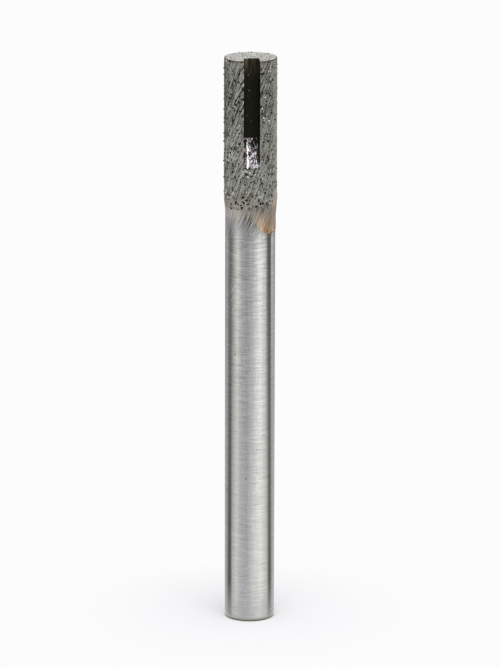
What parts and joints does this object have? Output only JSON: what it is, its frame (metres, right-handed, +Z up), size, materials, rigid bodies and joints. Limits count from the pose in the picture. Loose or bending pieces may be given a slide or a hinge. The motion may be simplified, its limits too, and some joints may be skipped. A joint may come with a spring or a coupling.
{
  "type": "sintered diamond router bit for stone",
  "caption": "Straight round router bit for stone, with a plain steel shank and a sintered diamond head that has a coolant slot down one side.",
  "frame": {"origin": "centre of the shank's flat foot, on the surface that the bit stands on", "axes": "+Z up the bit's axis from the shank's foot to the cutting tip; the coolant slot opens towards -Y"},
  "size_m": [0.0085, 0.0084, 0.092],
  "materials": {
    "shank_steel": "satin",
    "copper_bond": "satin",
    "sintered_metal": "matte"
  },
  "bodies": {
    "root": {"shank": "shank_steel", "bond_layer": "copper_bond", "diamond_head": "sintered_metal"}
  },
  "joints": []
}
